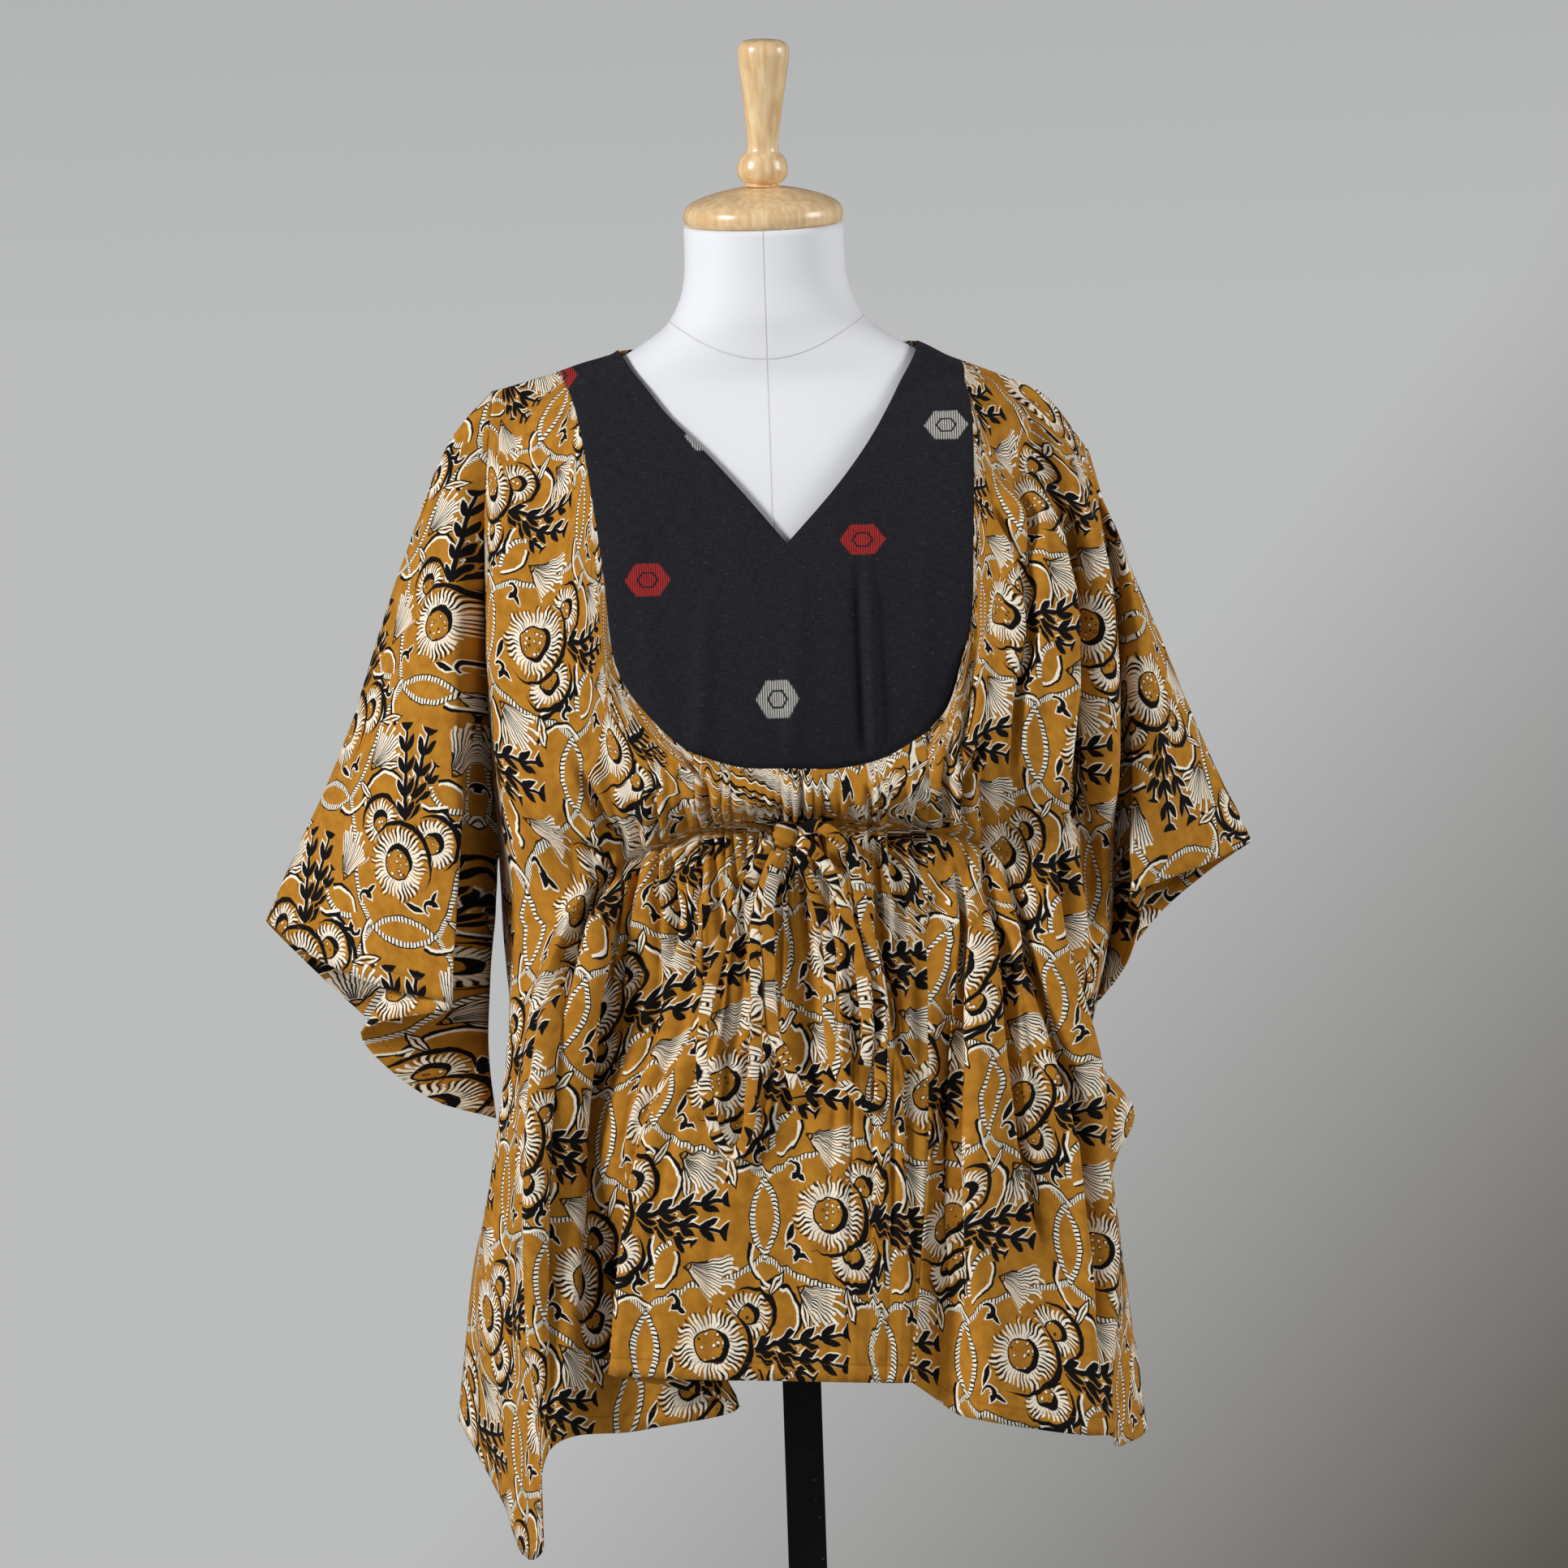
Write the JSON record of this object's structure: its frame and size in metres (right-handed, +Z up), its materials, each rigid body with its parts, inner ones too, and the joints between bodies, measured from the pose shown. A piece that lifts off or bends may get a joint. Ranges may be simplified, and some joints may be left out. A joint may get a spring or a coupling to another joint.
{
  "type": "block printed kaftan on a limbless dress form",
  "caption": "Short drawstring-waist kaftan with wide dropped sleeves and a V-neck yoke, worn open at hem and cuffs by a neck-capped dress form on a post and round base.",
  "frame": {"origin": "centre of the round base's underside, on the floor, below the axis of the post", "axes": "+Z up along the post, -Y towards the garment's front, +X to the right as the front is seen"},
  "size_m": [0.6942, 0.4, 1.5951],
  "materials": {
    "printed_cotton": "matte block-printed cotton",
    "black_handloom": "matte slubbed handloom cotton",
    "form_cover": "matte stretched cotton cover",
    "turned_wood": "satin varnish",
    "black_paint": "satin black paint, lightly worn"
  },
  "bodies": {
    "root": {"front_left": "printed_cotton", "front_centre": "printed_cotton", "front_right": "printed_cotton", "back": "printed_cotton", "yoke": "black_handloom", "sleeve_left": "printed_cotton", "sleeve_right": "printed_cotton", "tie_loop_left": "printed_cotton", "tie_end_left": "printed_cotton", "tie_loop_right": "printed_cotton", "tie_end_right": "printed_cotton", "tie_knot": "printed_cotton", "form_torso": "form_cover", "form_cap": "turned_wood", "form_finial": "turned_wood", "form_pole": "black_paint", "form_base": "black_paint"}
  },
  "joints": []
}
